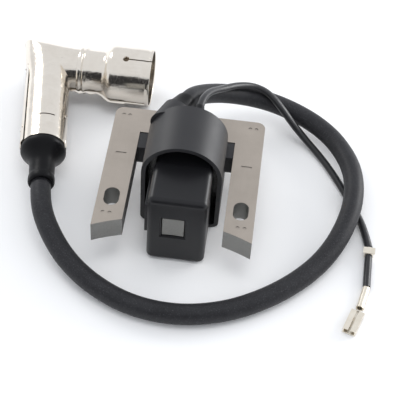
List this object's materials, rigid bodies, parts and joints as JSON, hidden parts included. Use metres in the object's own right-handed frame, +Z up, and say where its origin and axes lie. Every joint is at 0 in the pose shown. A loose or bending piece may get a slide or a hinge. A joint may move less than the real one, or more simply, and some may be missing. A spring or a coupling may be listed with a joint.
{
  "type": "ignition coil",
  "caption": "Magneto ignition coil: laminated core with three legs, arched coil housing, trigger module, high-voltage lead with a shielded elbow plug boot, and a kill wire.",
  "frame": {"origin": "middle of the coil unit's footprint on the surface it lies on, without the free leads", "axes": "+Z up out of the surface, -Y towards the flywheel that the three core legs face, +X to the side the kill wire lies on"},
  "size_m": [0.1514, 0.1303, 0.0429],
  "materials": {
    "core_steel": "rolled electrical steel, dull",
    "housing_plastic": "moulded black, matte",
    "module_plastic": "moulded black, satin",
    "bobbin_plastic": "natural glass-filled nylon",
    "copper_wire": "enamelled copper wire",
    "potting_resin": "cast black resin",
    "brass": "turned brass",
    "lead_rubber": "extruded black jacket",
    "board_laminate": "green laminate",
    "resistor_enamel": "glossy tan",
    "capacitor_film": "dipped red",
    "wire_sleeving": "black vinyl sleeving",
    "tinned_brass": "tinned brass strip",
    "nickel_sheet": "bright nickel-plated sheet",
    "grommet_rubber": "moulded black rubber",
    "insulator_resin": "dark moulded resin",
    "ceramic_body": "white ceramic",
    "spring_steel": "spring steel"
  },
  "bodies": {
    "coil_unit": {"core_laminations": "core_steel", "coil_housing": "housing_plastic", "primary_bobbin": "bobbin_plastic", "primary_winding": "copper_wire", "secondary_bobbin": "bobbin_plastic", "secondary_winding": "copper_wire", "coil_potting": "potting_resin", "high_voltage_pin": "brass", "lead_root": "lead_rubber", "module_case": "module_plastic", "circuit_board": "board_laminate", "thyristor": "module_plastic", "diode": "module_plastic", "trigger_resistor": "resistor_enamel", "gate_resistor": "resistor_enamel", "charge_capacitor": "capacitor_film", "trigger_coil": "copper_wire", "module_potting": "potting_resin", "high_voltage_lead": "lead_rubber", "kill_wire": "wire_sleeving", "wire_clip": "tinned_brass", "wire_sleeve": "wire_sleeving", "terminal_barrel": "tinned_brass", "kill_terminal": "tinned_brass", "lead_tail": "lead_rubber", "lead_screw": "brass"},
    "boot": {"elbow_shield": "nickel_sheet", "socket_shield": "nickel_sheet", "boot_grommet": "grommet_rubber", "boot_insulator": "insulator_resin", "suppressor_resistor": "ceramic_body", "contact_spring": "spring_steel", "plug_contact": "brass"}
  },
  "joints": [
    {"name": "boot_swivel", "type": "hinge", "parent": "coil_unit", "child": "boot", "pos_m": [-0.0642, 0.0616, 0.01245], "axis": [0.1461, -0.9893, 0], "range_deg": [0, 180]}
  ]
}
